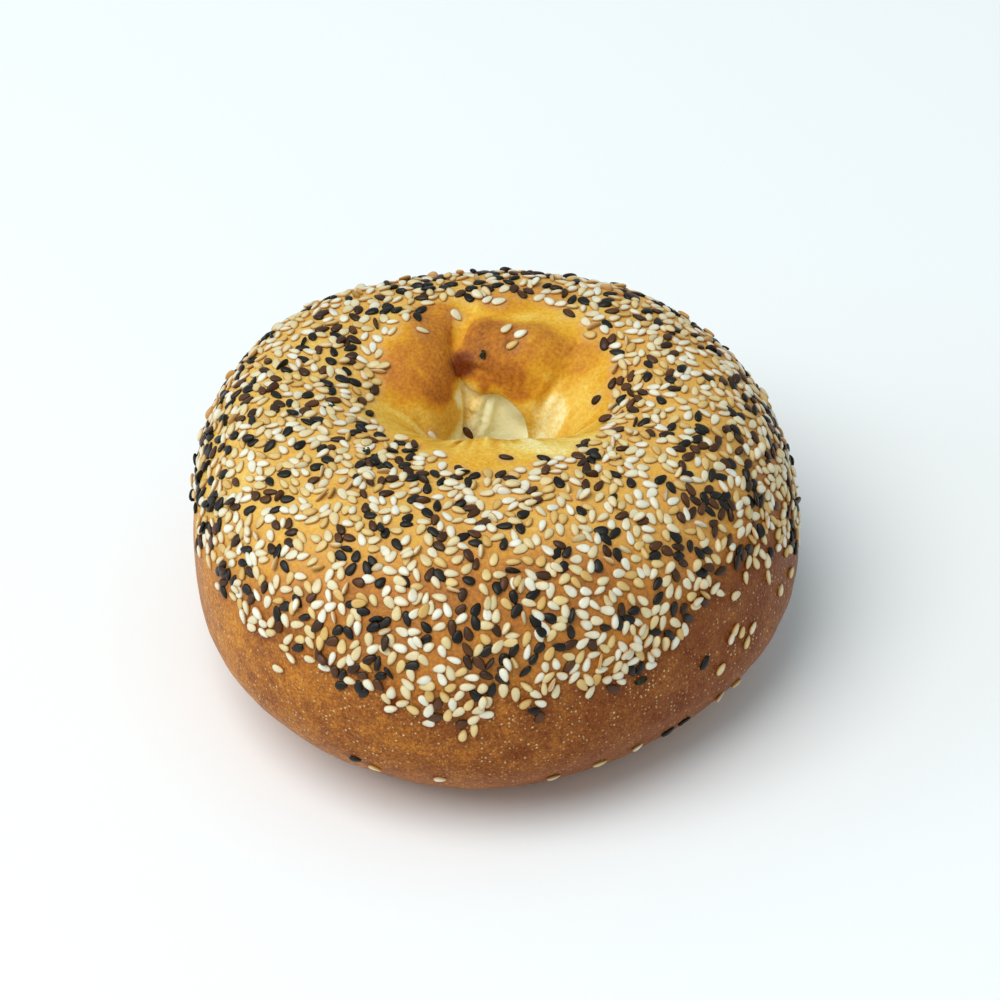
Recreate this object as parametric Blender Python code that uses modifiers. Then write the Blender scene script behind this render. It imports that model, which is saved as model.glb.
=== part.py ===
"""Seeded bagel, without its loose seeds: one solid of bread.

A thick rope of dough is rolled into a ring. Its two ends meet at the far side (+Y), where the upper end
laps over the lower one as a blunt nose, and its hem runs down into the small hole. The ring has swollen
until the hole is a funnel with a narrow throat, nearer the far side, and it has baked flat underneath.

Metres, +Z up. The origin is the middle of the base, on the surface that the bagel lies on.
"""

import math

import bpy
from mathutils import Matrix, Vector

MM = 0.001

# The ring's middle, which its uneven plan and its lean put to one side of the middle of its box.
RING_MIDDLE = Vector((-1.0, 0.5, 0.0)) * MM

# The ring's cross-section, as distances from the ring's middle and heights above the base.
OUTER_RADIUS = 58.0 * MM
HEIGHT = 55.4 * MM
CREST_ACROSS = 33.0 * MM
CREST_ALONG = 30.0 * MM
EQUATOR_HEIGHT = 20.0 * MM
BASE_RADIUS = 33.0 * MM
THROAT_HEIGHT = 26.0 * MM
BASE_SINK = 2.0 * MM

# How square each quarter of the cross-section is: 2 is an ellipse, more is squarer, less is more pointed.
OUTER_TOP_SQUARENESS = 2.45
OUTER_BOTTOM_SQUARENESS = 1.56
INNER_BOTTOM_SQUARENESS = 2.4
FUNNEL_SQUARENESS = {0.0: 1.45, 90.0: 2.1, 180.0: 1.9, 270.0: 3.2}

# The crest and the hole's throat aren't centred on the ring, and the top leans as it rises.
CREST_OFFSET = Vector((0.0, 4.0, 0.0)) * MM
THROAT_OFFSET = Vector((1.5, 10.0, 0.0)) * MM
THROAT_ACROSS = 7.2 * MM
THROAT_ALONG = 7.8 * MM
LEAN = Vector((-0.065, 0.0, 0.0))

# Unevenness of the plan: for each number of waves round the ring, their share of the outer radius and the
# angle of one crest. And of the height: the share by which it slopes, and the way it slopes up.
PLAN_WAVES = {
    1: (0.018, math.radians(93.0)),
    2: (0.025, math.radians(54.0)),
    3: (0.026, math.radians(16.5)),
    4: (0.010, math.radians(-37.0)),
    5: (0.007, math.radians(-12.0)),
}
HEIGHT_SLOPE = 0.02
HEIGHT_SLOPE_ANGLE = math.radians(-70.0)

# The rope's ends, in millimetres and degrees: each lobe's place from the ring's middle, half sizes, turn about
# Z after its tilt about Y, and the share by which its -X end is slimmer.
ROPE_ENDS = {
    "nose": ((3.2, 24.4, 47.2), (13.7, 8.4, 9.4), -12.0, -8.0, 0.35),
    "hem": ((10.5, 21.5, 40.5), (7.6, 6.5, 12.0), 0.0, -27.0, 0.0),
    "lower_rope": ((-15.8, 25.0, 38.3), (12.7, 19.0, 17.6), -14.0, 0.0, 0.0),
    "tongue": ((-2.2, 20.6, 35.0), (2.4, 3.5, 9.5), 0.0, 6.0, 0.0),
}

RING_SEGMENTS = 42
SECTION_SEGMENTS = 24
LOBE_SEGMENTS = 16
LOBE_RINGS = 10
SUBDIVISIONS = 1

CRUST_COLOUR = (0.58, 0.27, 0.07, 1.0)
CRUST_ROUGHNESS = 0.5


def clear_scene():
    for obj in list(bpy.data.objects):
        bpy.data.objects.remove(obj, do_unlink=True)


def new_collection(name):
    collection = bpy.data.collections.new(name)
    bpy.context.scene.collection.children.link(collection)
    return collection


def crust_material():
    material = bpy.data.materials.new("baked_crust")
    material.use_nodes = True
    shader = material.node_tree.nodes["Principled BSDF"]
    shader.inputs["Base Color"].default_value = CRUST_COLOUR
    shader.inputs["Roughness"].default_value = CRUST_ROUGHNESS
    shader.inputs["Metallic"].default_value = 0.0
    return material


def funnel_squareness(turn):
    """The squareness towards turn, mixed from the four sides', which lie a quarter turn apart."""
    mixed = 0.0
    for side, squareness in FUNNEL_SQUARENESS.items():
        mixed += squareness * max(0.0, math.cos(turn - math.radians(side))) ** 2
    return mixed


def oval_radius(turn, across, along):
    return across * along / math.hypot(along * math.cos(turn), across * math.sin(turn))


def outer_radius(turn):
    waves = sum(share * math.cos(count * (turn - angle)) for count, (share, angle) in PLAN_WAVES.items())
    return OUTER_RADIUS * (1.0 + waves)


def crest_height(turn):
    return HEIGHT * (1.0 + HEIGHT_SLOPE * math.cos(turn - HEIGHT_SLOPE_ANGLE))


def ring_point(turn, section):
    """A point of the ring: turn is the angle about its middle, section the angle about the rope, 0 outwards.

    The section is four quarters of an oval, between the outer wall, the crest, the throat and the base.
    """
    out, up = math.cos(section), math.sin(section)
    direction = Vector((math.cos(turn), math.sin(turn), 0.0))
    if out >= 0.0:
        squareness = OUTER_TOP_SQUARENESS if up >= 0.0 else OUTER_BOTTOM_SQUARENESS
        wall = direction * outer_radius(turn)
        middle = EQUATOR_HEIGHT
    else:
        squareness = funnel_squareness(turn) if up >= 0.0 else INNER_BOTTOM_SQUARENESS
        wall = direction * oval_radius(turn, THROAT_ACROSS, THROAT_ALONG) + THROAT_OFFSET
        middle = THROAT_HEIGHT
    if up >= 0.0:
        rim = direction * oval_radius(turn, CREST_ACROSS, CREST_ALONG) + CREST_OFFSET
        end = crest_height(turn)
    else:
        rim = direction * BASE_RADIUS
        end = -BASE_SINK
    share = abs(out) ** (2.0 / squareness)
    point = rim.lerp(wall, share)
    point.z = max(0.0, middle + (end - middle) * abs(up) ** (2.0 / squareness))
    return RING_MIDDLE + point + LEAN * (point.z - EQUATOR_HEIGHT)


def add_ring(collection, material):
    tube = 0.5 * (OUTER_RADIUS - THROAT_ACROSS)
    centre_line = OUTER_RADIUS - tube
    bpy.ops.mesh.primitive_torus_add(
        major_segments=RING_SEGMENTS,
        minor_segments=SECTION_SEGMENTS,
        major_radius=centre_line,
        minor_radius=tube,
    )
    ring = bpy.context.object
    ring.name = "bagel"
    for vertex in ring.data.vertices:
        x, y, z = vertex.co
        vertex.co = ring_point(math.atan2(y, x), math.atan2(z, math.hypot(x, y) - centre_line))
    finish(ring, collection, material)
    return ring


def add_lobe(name, place, half_sizes, turn, tilt, slimmer, collection, material):
    bpy.ops.mesh.primitive_uv_sphere_add(segments=LOBE_SEGMENTS, ring_count=LOBE_RINGS, radius=1.0)
    lobe = bpy.context.object
    lobe.name = name
    for vertex in lobe.data.vertices:
        girth = 1.0 - slimmer * (0.5 - 0.5 * vertex.co.x)
        vertex.co.y *= girth
        vertex.co.z *= girth
    turned = Matrix.Rotation(math.radians(turn), 4, "Z") @ Matrix.Rotation(math.radians(tilt), 4, "Y")
    lobe.data.transform(turned @ Matrix.Diagonal((*(Vector(half_sizes) * MM), 1.0)))
    lobe.location = RING_MIDDLE + Vector(place) * MM
    lobe.hide_render = True
    lobe.display_type = "WIRE"
    finish(lobe, collection, material)
    return lobe


def finish(obj, collection, material):
    for owner in list(obj.users_collection):
        owner.objects.unlink(obj)
    collection.objects.link(obj)
    obj.data.materials.append(material)
    obj.data.shade_smooth()
    smooth = obj.modifiers.new("Subdivision", "SUBSURF")
    smooth.levels = SUBDIVISIONS
    smooth.render_levels = SUBDIVISIONS
    smooth.use_limit_surface = False


def join(body, lobe):
    union = body.modifiers.new(f"Union_{lobe.name}", "BOOLEAN")
    union.operation = "UNION"
    union.solver = "EXACT"
    union.object = lobe


def main():
    clear_scene()
    material = crust_material()
    ring = add_ring(new_collection("bagel"), material)
    lobes = new_collection("rope_ends")
    for name, shape in ROPE_ENDS.items():
        join(ring, add_lobe(name, *shape, lobes, material))


main()
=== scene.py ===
"""Looks of the sesame bagel: its crust, its seeds and herbs, and the studio that it is seen in.

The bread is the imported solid, remeshed finely, with its joins melted together and its folds, lips and
wrinkles worked in. The seeds are true-size meshes that lie on the bread, one piece for each kind.
Metres, +Z up; tables of places and sizes are in millimetres.
"""

import math
import random
from functools import partial

import bpy
import numpy as np
from bpy.props import FloatProperty, FloatVectorProperty, IntProperty, PointerProperty
from bpy.types import Operator, Panel, PropertyGroup
from mathutils import Matrix, Vector, noise
from mathutils.bvhtree import BVHTree
from mathutils.kdtree import KDTree


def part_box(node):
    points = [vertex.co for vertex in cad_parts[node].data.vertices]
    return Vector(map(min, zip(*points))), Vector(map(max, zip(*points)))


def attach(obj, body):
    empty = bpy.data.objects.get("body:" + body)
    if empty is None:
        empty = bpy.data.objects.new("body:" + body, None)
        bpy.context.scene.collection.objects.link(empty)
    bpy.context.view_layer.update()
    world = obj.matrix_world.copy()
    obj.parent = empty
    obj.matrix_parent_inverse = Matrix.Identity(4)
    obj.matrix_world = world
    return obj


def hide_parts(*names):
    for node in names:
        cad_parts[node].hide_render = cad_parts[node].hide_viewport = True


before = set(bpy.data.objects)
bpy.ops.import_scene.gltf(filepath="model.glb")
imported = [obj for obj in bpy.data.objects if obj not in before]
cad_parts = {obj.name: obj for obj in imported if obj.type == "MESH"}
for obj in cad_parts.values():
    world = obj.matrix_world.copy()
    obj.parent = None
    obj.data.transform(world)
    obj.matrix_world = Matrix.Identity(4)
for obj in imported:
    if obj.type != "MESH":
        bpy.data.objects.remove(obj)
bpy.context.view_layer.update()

bl_info = {
    "name": "Sesame Bagel",
    "version": (1, 0, 0),
    "blender": (4, 5, 0),
    "location": "View3D > Sidebar > Bagel",
    "description": "Crust, seeds and studio for a baked sesame bagel",
    "category": "Object",
}

MM = 0.001
BREAD_NODE = "bagel"


def srgb(code):
    """A colour written as #RRGGBB, as the linear values that Blender's colour sockets take."""
    channels = (int(code[start:start + 2], 16) / 255.0 for start in (1, 3, 5))
    return tuple(c / 12.92 if c <= 0.04045 else ((c + 0.055) / 1.055) ** 2.4 for c in channels)


def colour(name, description, code):
    return FloatVectorProperty(
        name=name, description=description, default=srgb(code), subtype="COLOR", size=3, min=0.0, max=1.0
    )


def length(name, description, millimetres):
    return FloatProperty(
        name=name, description=description, default=millimetres * MM, unit="LENGTH", precision=5, min=0.0
    )


def factor(name, description, default, high=1.0):
    return FloatProperty(
        name=name, description=description, default=default, subtype="FACTOR", min=0.0, max=high
    )


def lamp_power(name, description, watts):
    return FloatProperty(name=name, description=description, default=watts, unit="POWER", min=0.0)


class BreadSettings(PropertyGroup):
    cell: length("Mesh cell", "Edge of the bread's mesh cells, before the top is cut finer", 1.0)
    swell: length("Swell", "How far the crust swells and sinks over a few centimetres", 0.5)
    cream: colour("Cream", "Dough that the oven hardly touched, deep in the hole", "#FFFCD2")
    straw: colour("Straw", "The first colour of a thin crust, round the hole", "#EEC65C")
    gold: colour("Gold", "The crust on top", "#DE9F2C")
    amber: colour("Amber", "Well baked crust", "#C1762A")
    brown: colour("Brown", "The flanks, where the crust is thickest", "#8E5125")
    umber: colour("Umber", "The darkest tips", "#6E2C0C")
    tan: colour("Tan", "The dull crust between the seeds", "#E2BE88")


class SeedSettings(PropertyGroup):
    seed_length: length("Seed length", "Length of an average sesame seed", 2.8)
    seed_width: length("Seed width", "Width of an average sesame seed", 1.75)
    seed_thickness: length("Seed thickness", "Thickness of an average sesame seed", 0.85)
    tries: IntProperty(name="Tries", description="Places tried for seeds", default=60000, min=0)
    crowding: factor("Crowding", "How near two seeds may lie, as a share of touching", 0.65, 1.5)
    dark_share: factor("Dark share", "Share of brown and black seeds", 0.29)


class StageSettings(PropertyGroup):
    floor_colour: colour("Floor", "Matt white paper", "#F6F3F4")
    sky_colour: colour("Fill", "Light from the white room", "#E2FAFF")
    key_colour: colour("Key colour", "Light from the large soft lamp", "#FFFDF8")
    side_colour: colour("Side colour", "Light from the low side lamp", "#CDF1FF")
    fill_strength: factor("Fill strength", "Strength of the room's light", 0.54, 10.0)
    key_power: lamp_power("Key power", "Power of the large soft lamp", 22.5)
    key_size: length("Key size", "Width of the large soft lamp", 1400.0)
    side_power: lamp_power("Side power", "Power of the low side lamp", 1.9)
    side_size: length("Side size", "Width of the low side lamp", 500.0)
    camera_angle: FloatProperty(
        name="Camera angle",
        description="Angle of the view above level",
        default=math.radians(40.0),
        subtype="ANGLE",
    )
    camera_distance: length("Camera distance", "From the bagel", 1000.0)


# ------------------------------
# Places on the bread, and how its seeds lie

# The top has no seeds round the hole: the middle and the half widths of that oval.
BARE_OVAL = ((-0.5, 8.7), (22.6, 26.6))

# Where the seeds stop on the flank: heights at angles about the middle, in degrees, with an even slope
# from each to the next.
SEED_LINE = (
    (-180, 36), (-150, 37), (-123, 36), (-110, 34), (-95, 29), (-88, 33), (-56, 33), (-44, 38), (-30, 40),
    (-18, 37), (-6, 28), (15, 25), (60, 28), (120, 29), (160, 34),
)

# How many times the mesh is smoothed, all of it and then where its joins have melted away.
SMOOTHING, MELTING = 6, 45

# Where the rope's joins have melted away: place and reach.
MELTED = (
    ((16.0, 22.0, 50.0), 9.0), ((12.0, 30.0, 53.0), 9.0), ((-22.0, 20.0, 52.0), 10.0),
    ((-15.0, 32.0, 52.0), 9.0), ((-20.0, 8.0, 50.0), 9.0), ((15.0, 10.0, 42.0), 6.0),
    ((6.5, 30.0, 54.5), 5.0), ((13.0, 25.0, 53.5), 7.0),
)

# Swelling of the proved dough, broad and then finer: width, and share of the swell.
SWELLS = ((22.0, 1.0), (6.0, 0.3))

# The mesh is cut finer inside each of these ovals, above HOLE_FLOOR: the middle and the half widths.
FINE_OVALS = (((-0.5, 9.5), (24.5, 27.0)), ((0.0, 14.0), (15.5, 17.0)))
HOLE_FLOOR = 31.0

# Dough pulled by hand: place, pull and reach.
PULLS = {
    "nose_point": ((-5.6, 22.6, 49.3), (-1.3, -0.8, -0.2), 2.5),
    "nose_point_drooping": ((-6.0, 21.6, 46.8), (-0.5, -0.8, -0.3), 1.8),
    "nose_shoulder": ((-3.6, 27.5, 52.4), (-0.8, 0.8, 0.6), 2.6),
    "chin": ((-3.2, 19.8, 45.8), (-0.2, -0.8, -0.5), 1.9),
    "tongue_pimple": ((-4.8, 19.2, 40.3), (-0.1, -0.7, 0.1), 0.8),
    "lip_swelling": ((-2.1, -5.5, 53.3), (0.0, 0.0, 0.7), (3.2, 4.0, 4.0)),
    "lip_dip": ((-9.5, -6.0, 53.0), (0.0, 0.0, -0.6), (2.2, 4.0, 4.0)),
}

# Edges of dough that stand over what lies beside them: width, height, and the line, which has the high side
# on its left. The step between the sides is twice LEDGE_SLOPE wide.
LEDGE_SLOPE = 0.35
LEDGES = {
    "hem_of_nose": (
        2.0, 1.7,
        (
            (-7.6, 22.0, 48.2), (-6.5, 21.2, 46.4), (-5.0, 20.8, 44.9), (-2.4, 19.8, 44.1),
            (0.6, 18.8, 44.5), (2.9, 17.7, 43.2), (4.4, 16.7, 41.9), (5.1, 16.4, 40.2), (5.7, 17.0, 37.2),
        ),
    ),
    "shoulder_of_nose": (
        1.8, 1.0,
        ((0.5, 30.8, 53.6), (-1.6, 30.2, 53.2), (-3.9, 29.2, 52.3), (-6.0, 26.6, 51.2), (-7.6, 23.9, 50.0)),
    ),
}

# Creases pressed into the dough: width, depth and the line. A negative depth stands up as a ridge.
CREASES = {
    "valley_above_nose": (
        2.0, 0.8, ((-8.4, 23.0, 49.5), (-7.3, 27.0, 51.0), (-6.3, 31.0, 52.6), (-6.3, 36.0, 54.0)),
    ),
    "ridge_across_nose": (0.7, -0.30, ((-7.5, 22.2, 49.6), (-5.1, 21.4, 49.7), (-1.5, 20.0, 50.3))),
    "tongue_left": (
        0.7, 0.9, ((-6.2, 20.3, 45.5), (-5.9, 20.0, 42.8), (-5.9, 18.6, 39.0), (-6.0, 17.0, 33.5)),
    ),
    "tongue_right": (
        0.7, 0.9, ((-1.2, 19.6, 44.5), (-1.8, 19.2, 42.0), (-2.4, 18.5, 40.0), (-3.5, 18.0, 34.5)),
    ),
    "right_fold": (
        0.9, 0.55, ((12.3, 18.8, 49.8), (10.4, 17.1, 47.0), (8.6, 15.9, 44.0), (7.2, 15.7, 39.5)),
    ),
    "left_fold": (0.6, 0.35, ((-15.8, 10.2, 47.0), (-13.3, 9.8, 43.1), (-11.6, 10.2, 39.0))),
    "left_fold_inside": (0.6, 0.30, ((-12.6, 12.5, 46.5), (-9.8, 12.5, 39.5))),
    "nose_wrinkle_1": (0.5, 0.20, ((-1.2, 19.8, 50.6), (-0.5, 19.1, 45.4))),
    "nose_wrinkle_2": (0.55, 0.30, ((1.0, 18.7, 50.9), (1.6, 18.2, 44.7))),
    "nose_wrinkle_3": (0.45, 0.22, ((3.0, 18.0, 50.4), (3.4, 17.4, 44.4))),
    "nose_wrinkle_4": (0.55, 0.30, ((4.6, 17.4, 49.6), (4.9, 16.9, 42.9))),
    "crack_1": (0.35, 0.35, ((12.6, 20.6, 51.2), (14.2, 22.0, 52.4), (15.6, 23.6, 53.2))),
    "crack_2": (0.35, 0.35, ((15.0, 18.6, 51.2), (16.6, 19.2, 51.8), (18.0, 19.0, 52.0))),
    "crack_3": (0.30, 0.25, ((13.6, 18.8, 50.6), (14.6, 19.8, 51.4))),
}

# The dough rises in a lip beside each crease: the lip's share of the depth, and its place in widths.
LIP_SHARE = 0.3
LIP_PLACE = 1.9

# Fine pleats spread from this middle over the hole's lip: how many to a radian, how fast they change on the
# way out, how far out they are deepest and how soon they end, their depth, and how strongly painted shade
# darkens their grooves and painted light lightens their ridges.
PLEAT_MIDDLE = (-1.0, 9.0)
PLEAT_COUNT = 10.0
PLEAT_CHANGE = 0.06
PLEAT_RING = 14.5
PLEAT_RING_WIDTH = 4.5
PLEAT_SIZE = 0.45
PLEAT_PAINTED_SHADE = 0.40

# The tongue of dough under the nose: place and reach.
TONGUE = ((-5.2, 19.6, 42.5), (2.6, 3.0, 4.0))

# How dark the crust has baked, from 0, cream dough, to 1, umber: at the crest, how much darker down at the
# shoulder, in the funnel, on the flank and under the base. On the flank, painted shade darkens the side away
# from the lamps, which is given as a direction in plan, and painted light lightens the opposite side.
CREST_HEIGHT, SHOULDER_HEIGHT = 56.0, 36.0
CREST_BAKED = 0.38
SHOULDER_DARKER = 0.28
FUNNEL_BAKED = 0.40
FLANK_BAKED = 0.735
FLANK_PAINTED_SHADE = 0.10
FLANK_SHADED_SIDE = (0.97, -0.22)
BASE_BAKED = 0.60

# The hem of the nose is browned on its edge, less so further down, and the dough that it hides is pale.
HEM_BAKED = 0.66
HEM_PALER = 0.45
HIDDEN_BAKED = -0.08
TONGUE_BAKED = 0.16

# How dark single places have baked, with painted light on the far crest: place, reach and darkness. Later
# ones cover earlier ones. Each holds fully where the nearness is BAKED_NEAR or more, and not at all where it
# is BAKED_FAR or less.
BAKED_NEAR, BAKED_FAR = 0.62, 0.10
BAKED_AND_PAINTED_LIGHT = {
    "front": ((0.0, -45.0, 45.0), (36.0, 17.0, 10.0), 0.60),
    "front_lip": ((-5.0, -10.0, 55.0), (13.0, 7.0, 5.0), 0.38),
    "right_lip": ((11.0, -8.0, 54.5), (9.0, 7.0, 5.0), 0.20),
    "left_pale": ((-40.0, 6.0, 46.0), (22.0, 34.0, 16.0), 0.31),
    # Painted light: the far crest is painted paler than it has baked.
    "far_crest_painted_light": ((4.0, 42.0, 51.0), (44.0, 14.0, 14.0), 0.33),
    "scorch_near": ((3.7, -56.5, 22.0), (2.8, 2.8, 1.7), 0.88),
    "scorch_low": ((-18.6, -54.7, 33.0), (1.3, 1.3, 1.3), 0.92),
    "scorch_right": ((31.0, -42.8, 20.5), (6.0, 6.0, 3.2), 0.88),
    "right_slope": ((15.0, 8.0, 47.5), (6.0, 7.5, 6.5), 0.34),
    "right_slope_top": ((14.0, 20.5, 52.0), (5.5, 4.5, 4.0), 0.47),
    "back": ((5.0, 35.0, 54.5), (10.0, 4.5, 5.0), 0.49),
    "valley": ((-5.9, 34.0, 53.5), (2.4, 6.0, 3.0), 0.31),
    "left_slope_top": ((-11.5, 27.5, 53.0), (6.0, 7.0, 4.0), 0.60),
    "left_slope": ((-15.0, 17.5, 51.0), (7.5, 8.0, 5.0), 0.59),
    "left_slope_low": ((-11.0, 17.0, 48.0), (3.8, 5.0, 3.8), 0.64),
    "left_slope_foot": ((-13.5, 7.5, 44.5), (5.5, 4.2, 3.8), 0.33),
    "hole": ((0.0, 11.0, 34.0), (11.0, 11.0, 9.5), -0.08),
    "left_wall": ((-9.5, 13.5, 41.0), (3.0, 4.0, 3.5), 0.32),
    "valley_low": ((-6.9, 28.5, 51.6), (1.6, 4.5, 2.5), 0.35),
    "nose_back": ((6.0, 22.0, 53.5), (6.0, 5.5, 4.0), 0.56),
    "nose_right": ((14.5, 20.0, 52.0), (5.5, 3.0, 3.5), 0.54),
    "nose": ((-1.0, 24.2, 52.5), (5.8, 5.0, 4.0), 0.65),
    "nose_side": ((6.0, 17.0, 46.8), (3.2, 2.6, 3.2), 0.52),
    "nose_side_foot": ((6.6, 16.3, 40.5), (2.2, 2.2, 4.2), 0.20),
    "right_fold_foot": ((10.6, 15.0, 41.5), (3.2, 3.0, 5.2), 0.12),
    "nose_patch": ((1.8, 18.4, 49.0), (4.4, 2.6, 3.0), 0.65),
    "nose_patch_foot": ((3.6, 17.6, 46.0), (2.6, 2.0, 2.4), 0.60),
    "nose_ridge": ((-2.5, 20.6, 49.9), (3.6, 2.2, 1.8), 0.70),
    "chin": ((-3.4, 19.6, 46.2), (2.6, 2.2, 2.4), 0.63),
    "nose_point": ((-6.5, 21.8, 48.5), (2.6, 2.3, 2.6), 0.93),
}

# Both edges of the seeded crust are ragged: the width of their tongues, and how far these reach down the
# flank and, as a share of the bare oval, in towards the hole.
RAGGED_WIDTH = 5.0
RAGGED_DOWN = 5.0
RAGGED_IN = 0.10

# Where dark seeds lie thickest: place and reach.
DARK_PATCHES = (
    ((-52.0, 8.0, 46.0), 8.0), ((-54.0, -2.0, 42.0), 7.0), ((-28.0, 18.0, 54.0), 7.0),
    ((40.0, -8.0, 52.0), 8.0), ((38.0, -22.0, 49.0), 7.0), ((10.0, 44.0, 52.0), 9.0),
)

# Where seeds lie thinly: the share that is missing there, and each place and reach.
THIN_SHARE = 0.94
THIN_PATCHES = (
    ((-22.0, 1.0, 52.0), 6.0), ((-38.0, 21.0, 50.0), 5.0), ((27.0, -17.0, 53.0), 4.0),
    ((35.0, -25.0, 47.0), 5.0),
)

# Seeds and herb flakes that lie apart from the rest: place, and how far their length leans from level, in
# degrees.
LOOSE = {
    "sesame_white": (
        (-12.5, 10.2, 40.8, -30), (-7.7, 30.7, 53.5, -50), (0.3, 33.8, 54.1, 25), (-13.9, 24.1, 55.1, 0),
        (1.7, 24.9, 55.0, 70), (4.3, 22.9, 55.2, 25), (-10.4, -12.9, 55.3, -60), (-22.1, -52.4, 14.5, 0),
        (-10.3, -55.3, 14.6, 0), (10.1, -50.7, 11.2, 0), (19.0, -48.0, 10.5, 10), (26.0, -44.0, 11.0, 10),
        (43.4, -30.1, 28.1, 85), (46.7, -26.2, 25.2, 65), (45.0, -28.0, 12.0, 30), (42.0, -32.0, 12.0, 45),
        (52.2, -16.2, 25.7, 65), (40.8, -34.0, 22.0, 60), (40.2, -30.6, 37.5, -20), (43.2, -28.1, 34.8, 0),
        (45.1, -24.8, 36.1, -55), (43.2, -31.6, 27.1, 80), (49.5, -19.7, 31.9, -60),
        (-39.5, -43.5, 30.6, 10),
    ),
    "sesame_golden": (
        (-11.8, -14.6, 55.5, 55), (2.8, 21.0, 54.0, 30), (44.5, -28.8, 26.5, 85), (54.3, -10.5, 25.1, 10),
        (45.6, -28.1, 23.4, 75), (34.9, -34.7, 40.3, 10),
    ),
    "sesame_brown": ((-5.5, 17.7, 35.4, -50), (18.6, 11.2, 48.6, 10), (1.6, -14.5, 55.7, -25)),
    "sesame_black": (
        (-25.7, -51.9, 16.0, 20), (32.0, -40.0, 10.5, 25), (35.0, -38.0, 11.5, 25), (37.5, -36.5, 26.0, 75),
    ),
    "dried_herb": (
        (23.1, 5.8, 52.3, -60), (-2.6, 21.3, 51.4, 80), (25.7, -46.0, 30.1, 5), (-31.0, 2.0, 55.0, 30),
        (-23.9, -11.7, 55.0, -80), (-22.9, -14.8, 55.2, -40), (-21.0, -16.6, 55.3, -15),
        (-22.0, -13.5, 55.6, 60),
    ),
}

# Shares of the seeds: golden ones of the pale, black ones of the dark, ones stuck on edge, and ones stuck
# half on another. Dark ones lie thicker in drifts a few millimetres wide, and in DARK_PATCHES.
GOLDEN_SHARE = 0.22
BLACK_SHARE = 0.55
ON_EDGE_SHARE = 0.06
STACKED_SHARE = 0.05
DRIFT_WIDTH = 4.5
DRIFT_DARKER = 0.44
PATCH_DARKER = 0.32

# How high a seed's middle lies over the crust: pressed in, loose, on edge, and half on another. And how high
# a herb flake's does.
PRESSED_LIFT = 0.24
LOOSE_LIFT = 0.25
ON_EDGE_LIFT = 0.42
STACKED_LIFT = 0.8
FLAKE_LIFT = 0.35

# How a seed lies that is on edge or half on another, in radians, and how far along the other it lies.
ON_EDGE_ROLL = (0.9, 1.4)
STACKED_ROLL = 0.35
STACKED_SPIN = 0.8
STACKED_ALONG = 0.8

# A herb flake's length, width and thickness, how the first two vary, and how it is crumpled.
FLAKE_SIZE = (2.6, 1.3, 0.18)
FLAKE_SPREAD = ((0.65, 1.1), (0.9, 1.2))
CRUMPLE_WIDTH, CRUMPLE_HEIGHT = 0.7, 1.1

# Up in the view from the front and above, as shares of +Y and +Z.
VIEW_UP = (0.64, 0.77)

# How a seed's length, width and thickness vary, as shares of the average one's, and which shapes they have.
SEED_SPREAD = ((0.86, 1.12), (0.88, 1.12), (0.85, 1.15))
SEED_SHAPES = (0, 0, 1, 1, 2)

# How far seeds and flakes tilt and roll off the crust, in radians, as standard deviations.
LOOSE_SWAY = (0.08, 0.12)
LAID_TILT, LAID_ROLL = 0.10, 0.14
FLAKE_SWAY = (0.1, 0.2)

# Starts of the random draws.
PLACES_START, SEEDS_START, TONES_START, HERBS_START = 7, 11, 3, 5

# How far from a seed's middle the crust is painted darker by it, as painted shade: fully, and not at all.
SEED_SHADE_NEAR, SEED_SHADE_FAR = 1.2, 2.6


# ------------------------------
# Modelling


def select_only(piece):
    bpy.ops.object.select_all(action="DESELECT")
    piece.select_set(True)
    bpy.context.view_layer.objects.active = piece


def apply_modifier(piece, kind, **settings):
    select_only(piece)
    bpy.ops.object.modifier_add(type=kind)
    modifier = piece.modifiers[-1]
    for name, value in settings.items():
        setattr(modifier, name, value)
    bpy.ops.object.modifier_apply(modifier=modifier.name)


def displace(piece, width, strength, depth):
    """Pushes a piece's surface in and out by clouds of noise, so many millimetres wide."""
    texture = bpy.data.textures.new("clouds", "CLOUDS")
    texture.noise_scale = width * MM
    texture.noise_depth = depth
    apply_modifier(
        piece, "DISPLACE", texture=texture, strength=strength, mid_level=0.5, texture_coords="LOCAL"
    )
    bpy.data.textures.remove(texture)


def read_rows(items, name, width=3):
    """A property of a mesh's points or faces, one row each."""
    flat = np.empty(width * len(items))
    items.foreach_get(name, flat)
    return flat.reshape(-1, width)


def read_points(mesh):
    """The mesh's points in millimetres."""
    return read_rows(mesh.vertices, "co") / MM


def read_normals(mesh):
    return read_rows(mesh.vertex_normals, "vector")


def write_points(mesh, points):
    mesh.vertices.foreach_set("co", (points * MM).ravel())
    mesh.update()


def write_attribute(mesh, name, values):
    attribute = mesh.attributes.new(name, "FLOAT", "POINT")
    attribute.data.foreach_set("value", values)


def smoothstep(low, high, values):
    share = np.clip((values - low) / (high - low), 0.0, 1.0)
    return share * share * (3.0 - 2.0 * share)


def nearness(points, place, reach):
    """1 at the place, falling smoothly to nearly 0 at twice the reach, which may differ along X, Y and Z."""
    offset = (points - np.array(place)) / np.array(reach)
    return np.exp(-(offset ** 2).sum(axis=1))


def oval_share(points, middle, half):
    """Distance in plan from the middle of an oval, in its own half widths: 1 on its edge."""
    offset = (points[:, :2] - np.array(middle)) / np.array(half)
    return np.hypot(offset[:, 0], offset[:, 1])


def bare_share(points):
    return oval_share(points, *BARE_OVAL)


def seed_line_height(points):
    """The height in millimetres at which the seeds stop, below or above each point."""
    angles = np.degrees(np.arctan2(points[:, 1], points[:, 0]))
    stops = np.array(SEED_LINE + ((SEED_LINE[0][0] + 360, SEED_LINE[0][1]),))
    return np.interp(angles, stops[:, 0], stops[:, 1])


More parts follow.
